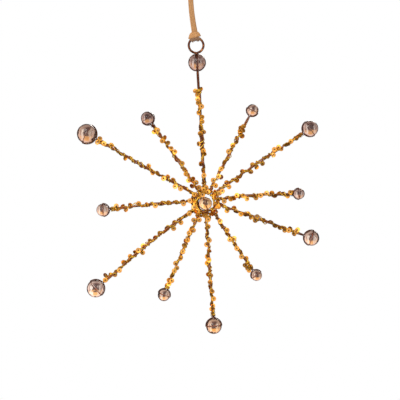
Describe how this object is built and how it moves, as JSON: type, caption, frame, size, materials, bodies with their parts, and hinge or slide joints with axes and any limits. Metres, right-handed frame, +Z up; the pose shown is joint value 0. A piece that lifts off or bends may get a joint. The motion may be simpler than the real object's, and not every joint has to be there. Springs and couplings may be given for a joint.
{
  "type": "beaded star ornament",
  "caption": "Flat hanging star of twisted wire rays wound with gold sequins, a smoky glass bead at each tip and at the centre, hung from a ring on a ribbon loop.",
  "frame": {"origin": "where a hook carries the ribbon loop, just under its top knot", "axes": "+Z up along the ribbon, +Y from the star's front to its back, +X to the right as the front shows it"},
  "size_m": [0.1502, 0.0122, 0.2483],
  "materials": {
    "dark_wire": "dark copper-brown lacquered craft wire, satin",
    "gold_garland": "bright gold wire and thin cupped gold sequins",
    "bead_glass": "clear smoky rose-brown glass with faint amber patches, polished",
    "ribbon": "narrow tan-gold woven ribbon with a soft sheen"
  },
  "bodies": {
    "knot": {"ribbon_knot": "ribbon"},
    "ribbon": {"ribbon_strand_front": "ribbon", "ribbon_strand_back": "ribbon"},
    "hitch": {"ribbon_hitch": "ribbon"},
    "star": {"hanging_ring": "dark_wire", "ray_01_wire": "dark_wire", "ray_02_wire": "dark_wire", "ray_03_wire": "dark_wire", "ray_04_wire": "dark_wire", "ray_05_wire": "dark_wire", "ray_06_wire": "dark_wire", "ray_07_wire": "dark_wire", "ray_08_wire": "dark_wire", "ray_09_wire": "dark_wire", "ray_10_wire": "dark_wire", "ray_11_wire": "dark_wire", "ray_12_wire": "dark_wire", "ray_01_sequins": "gold_garland", "ray_02_sequins": "gold_garland", "ray_03_sequins": "gold_garland", "ray_04_sequins": "gold_garland", "ray_05_sequins": "gold_garland", "ray_06_sequins": "gold_garland", "ray_07_sequins": "gold_garland", "ray_08_sequins": "gold_garland", "ray_09_sequins": "gold_garland", "ray_10_sequins": "gold_garland", "ray_11_sequins": "gold_garland", "ray_12_sequins": "gold_garland", "tip_bead_01": "bead_glass", "hub_ring": "dark_wire", "hub_binding": "gold_garland", "centre_cross_wire": "dark_wire"},
    "tip_bead_02": {"tip_bead_02": "bead_glass"},
    "tip_bead_03": {"tip_bead_03": "bead_glass"},
    "tip_bead_04": {"tip_bead_04": "bead_glass"},
    "tip_bead_05": {"tip_bead_05": "bead_glass"},
    "tip_bead_06": {"tip_bead_06": "bead_glass"},
    "tip_bead_07": {"tip_bead_07": "bead_glass"},
    "tip_bead_08": {"tip_bead_08": "bead_glass"},
    "tip_bead_09": {"tip_bead_09": "bead_glass"},
    "tip_bead_10": {"tip_bead_10": "bead_glass"},
    "tip_bead_11": {"tip_bead_11": "bead_glass"},
    "tip_bead_12": {"tip_bead_12": "bead_glass"},
    "centre_bead": {"centre_bead": "bead_glass"}
  },
  "joints": [
    {"name": "ribbon_twist", "type": "hinge", "parent": "knot", "child": "ribbon", "pos_m": [0, 0, 0], "axis": [0, 0, 1], "range_deg": [-180, 180]},
    {"name": "ribbon_flex", "type": "hinge", "parent": "ribbon", "child": "hitch", "pos_m": [0.0008, 0, -0.04925], "axis": [0.9925, 0, 0.1219], "range_deg": [-70, 70]},
    {"name": "ring_slide", "type": "hinge", "parent": "hitch", "child": "star", "pos_m": [0.00193, 0, -0.05846], "axis": [0, 1, 0], "range_deg": [-110, 110]},
    {"name": "tip_bead_02_spin", "type": "hinge", "parent": "star", "child": "tip_bead_02", "pos_m": [0.03693, 0, -0.09869], "axis": [0.8829, 0, -0.4695], "continuous": true},
    {"name": "tip_bead_03_spin", "type": "hinge", "parent": "star", "child": "tip_bead_03", "pos_m": [0.0727, 0, -0.10996], "axis": [0.5606, 0, -0.8281], "continuous": true},
    {"name": "tip_bead_04_spin", "type": "hinge", "parent": "star", "child": "tip_bead_04", "pos_m": [0.06583, 0, -0.15047], "axis": [0.0628, 0, -0.998], "continuous": true},
    {"name": "tip_bead_05_spin", "type": "hinge", "parent": "star", "child": "tip_bead_05", "pos_m": [0.0735, 0, -0.17792], "axis": [-0.3387, 0, -0.9409], "continuous": true},
    {"name": "tip_bead_06_spin", "type": "hinge", "parent": "star", "child": "tip_bead_06", "pos_m": [0.03937, 0, -0.20112], "axis": [-0.8271, 0, -0.5621], "continuous": true},
    {"name": "tip_bead_07_spin", "type": "hinge", "parent": "star", "child": "tip_bead_07", "pos_m": [0.01293, 0, -0.23255], "axis": [-0.9976, 0, -0.0698], "continuous": true},
    {"name": "tip_bead_08_spin", "type": "hinge", "parent": "star", "child": "tip_bead_08", "pos_m": [-0.01803, 0, -0.21329], "axis": [-0.9185, 0, 0.3955], "continuous": true},
    {"name": "tip_bead_09_spin", "type": "hinge", "parent": "star", "child": "tip_bead_09", "pos_m": [-0.06038, 0, -0.20926], "axis": [-0.6307, 0, 0.776], "continuous": true},
    {"name": "tip_bead_10_spin", "type": "hinge", "parent": "star", "child": "tip_bead_10", "pos_m": [-0.05593, 0, -0.16058], "axis": [-0.1011, 0, 0.9949], "continuous": true},
    {"name": "tip_bead_11_spin", "type": "hinge", "parent": "star", "child": "tip_bead_11", "pos_m": [-0.06586, 0, -0.11334], "axis": [0.4863, 0, 0.8738], "continuous": true},
    {"name": "tip_bead_12_spin", "type": "hinge", "parent": "star", "child": "tip_bead_12", "pos_m": [-0.02818, 0, -0.10364], "axis": [0.8171, 0, 0.5764], "continuous": true},
    {"name": "centre_bead_spin", "type": "hinge", "parent": "star", "child": "centre_bead", "pos_m": [0.00768, 0, -0.1565], "axis": [-0.3256, 0, 0.9455], "continuous": true}
  ]
}
